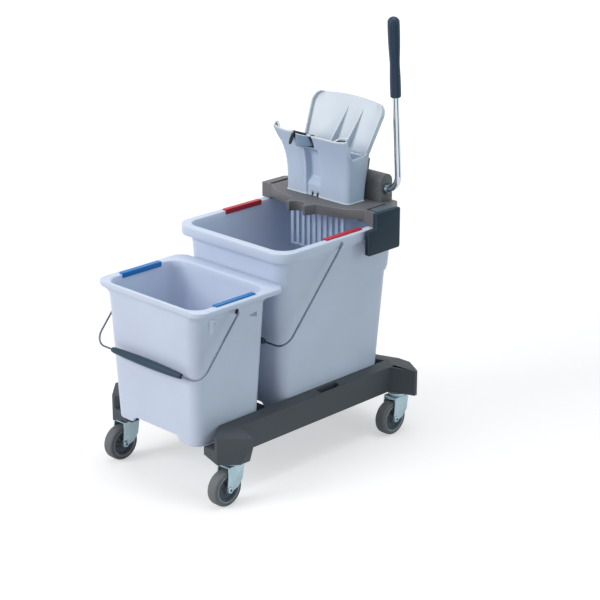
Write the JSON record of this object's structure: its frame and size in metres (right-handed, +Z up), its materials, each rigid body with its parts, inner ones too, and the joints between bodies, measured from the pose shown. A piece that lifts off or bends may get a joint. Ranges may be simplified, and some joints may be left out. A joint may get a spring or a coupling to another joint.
{
  "type": "double mop bucket trolley",
  "caption": "Cleaning trolley: moulded chassis on swivel castors, a small and a large bucket with wire bails, and a lever press with flared hopper on the large bucket's rim.",
  "frame": {"origin": "on the floor, under the middle of the trolley's bounding box", "axes": "+Z up; +Y from the small bucket to the large one; +X to the side that carries the press lever"},
  "size_m": [0.412, 0.626, 0.9205],
  "materials": {
    "chassis_plastic": "fine grained moulding",
    "bucket_plastic": "satin moulding",
    "hopper_plastic": "satin moulding",
    "bridge_plastic": "fine grained moulding",
    "slate_plastic": "fine grained moulding",
    "latch_plastic": "satin moulding",
    "grip_plastic": "soft satin grip",
    "blue_plastic": "glossy moulding",
    "red_plastic": "glossy moulding",
    "hub_plastic": "satin moulding",
    "tyre_rubber": "matt grey rubber",
    "zinc_steel": "bright zinc plating",
    "bail_steel": "drawn bright wire",
    "chrome_steel": "polished plating"
  },
  "bodies": {
    "chassis": {"chassis_frame": "chassis_plastic", "castor_stem_front_left": "zinc_steel", "castor_stem_front_right": "zinc_steel", "castor_stem_rear_left": "zinc_steel", "castor_stem_rear_right": "zinc_steel", "castor_bearing_front_left": "zinc_steel", "castor_bearing_front_right": "zinc_steel", "castor_bearing_rear_left": "zinc_steel", "castor_bearing_rear_right": "zinc_steel"},
    "castor_front_left": {"castor_fork_front_left": "zinc_steel", "castor_axle_front_left": "zinc_steel"},
    "wheel_front_left": {"castor_hub_front_left": "hub_plastic", "castor_tyre_front_left": "tyre_rubber"},
    "castor_front_right": {"castor_fork_front_right": "zinc_steel", "castor_axle_front_right": "zinc_steel"},
    "wheel_front_right": {"castor_hub_front_right": "hub_plastic", "castor_tyre_front_right": "tyre_rubber"},
    "castor_rear_left": {"castor_fork_rear_left": "zinc_steel", "castor_axle_rear_left": "zinc_steel"},
    "wheel_rear_left": {"castor_hub_rear_left": "hub_plastic", "castor_tyre_rear_left": "tyre_rubber"},
    "castor_rear_right": {"castor_fork_rear_right": "zinc_steel", "castor_axle_rear_right": "zinc_steel"},
    "wheel_rear_right": {"castor_hub_rear_right": "hub_plastic", "castor_tyre_rear_right": "tyre_rubber"},
    "small_bucket": {"small_bucket": "bucket_plastic", "small_clip_left": "blue_plastic", "small_clip_right": "blue_plastic"},
    "small_bail": {"small_bail_wire": "bail_steel", "small_bail_grip": "grip_plastic"},
    "large_bucket": {"large_bucket": "bucket_plastic", "large_clip_left": "red_plastic", "large_clip_right": "red_plastic"},
    "large_bail": {"large_bail_wire": "bail_steel", "large_bail_grip": "grip_plastic"},
    "press": {"press_bridge": "bridge_plastic", "side_hook": "slate_plastic", "hopper_front": "hopper_plastic", "hopper_back": "hopper_plastic", "latch_tab": "latch_plastic", "strainer_comb": "hopper_plastic", "shaft_cover": "bridge_plastic", "cover_screws": "zinc_steel", "shaft_bush_left": "hub_plastic", "shaft_bush_right": "hub_plastic", "return_spring": "zinc_steel"},
    "lever": {"lever_shaft": "zinc_steel", "cam_left": "hub_plastic", "cam_right": "hub_plastic", "lever_rod": "chrome_steel", "lever_grip": "grip_plastic"},
    "press_plate": {"press_plate": "hopper_plastic"}
  },
  "joints": [
    {"name": "swivel_front_left", "type": "hinge", "parent": "chassis", "child": "castor_front_left", "pos_m": [-0.16, -0.22498, 0.0928], "axis": [0, 0, 1], "continuous": true},
    {"name": "roll_front_left", "type": "hinge", "parent": "castor_front_left", "child": "wheel_front_left", "pos_m": [-0.16, -0.24598, 0.0375], "axis": [1, 0, 0], "continuous": true},
    {"name": "swivel_front_right", "type": "hinge", "parent": "chassis", "child": "castor_front_right", "pos_m": [0.16, -0.22498, 0.0928], "axis": [0, 0, 1], "continuous": true},
    {"name": "roll_front_right", "type": "hinge", "parent": "castor_front_right", "child": "wheel_front_right", "pos_m": [0.16, -0.24598, 0.0375], "axis": [1, 0, 0], "continuous": true},
    {"name": "swivel_rear_left", "type": "hinge", "parent": "chassis", "child": "castor_rear_left", "pos_m": [-0.16, 0.27302, 0.0928], "axis": [0, 0, 1], "continuous": true},
    {"name": "roll_rear_left", "type": "hinge", "parent": "castor_rear_left", "child": "wheel_rear_left", "pos_m": [-0.16, 0.25202, 0.0375], "axis": [1, 0, 0], "continuous": true},
    {"name": "swivel_rear_right", "type": "hinge", "parent": "chassis", "child": "castor_rear_right", "pos_m": [0.16, 0.27302, 0.0928], "axis": [0, 0, 1], "continuous": true},
    {"name": "roll_rear_right", "type": "hinge", "parent": "castor_rear_right", "child": "wheel_rear_right", "pos_m": [0.16, 0.25202, 0.0375], "axis": [1, 0, 0], "continuous": true},
    {"name": "small_bucket_lift", "type": "slide", "parent": "chassis", "child": "small_bucket", "axis": [0, -0.5, 0.866], "range_m": [0, 0.25]},
    {"name": "small_bail_swing", "type": "hinge", "parent": "small_bucket", "child": "small_bail", "pos_m": [0, -0.20002, 0.4001], "axis": [1, 0, 0], "range_deg": [-140, 0]},
    {"name": "large_bucket_lift", "type": "slide", "parent": "chassis", "child": "large_bucket", "axis": [0, 0.5, 0.866], "range_m": [0, 0.2]},
    {"name": "large_bail_swing", "type": "hinge", "parent": "large_bucket", "child": "large_bail", "pos_m": [0, 0.09002, 0.4761], "axis": [1, 0, 0], "range_deg": [-2, 3]},
    {"name": "press_lift", "type": "slide", "parent": "large_bucket", "child": "press", "axis": [0, 0, 1], "range_m": [0, 0.15]},
    {"name": "lever_pull", "type": "hinge", "parent": "press", "child": "lever", "pos_m": [0, 0.26702, 0.5464], "axis": [1, 0, 0], "range_deg": [0, 85], "stiffness_Nm_per_rad": 1.2, "springref_deg": -34.38},
    {"name": "plate_push", "type": "slide", "parent": "press", "child": "press_plate", "axis": [0, -1, 0], "range_m": [0, 0.028]}
  ],
  "couplings": [
    {"joint": "plate_push", "follows": "lever_pull", "m_per_rad": 0.018874}
  ]
}
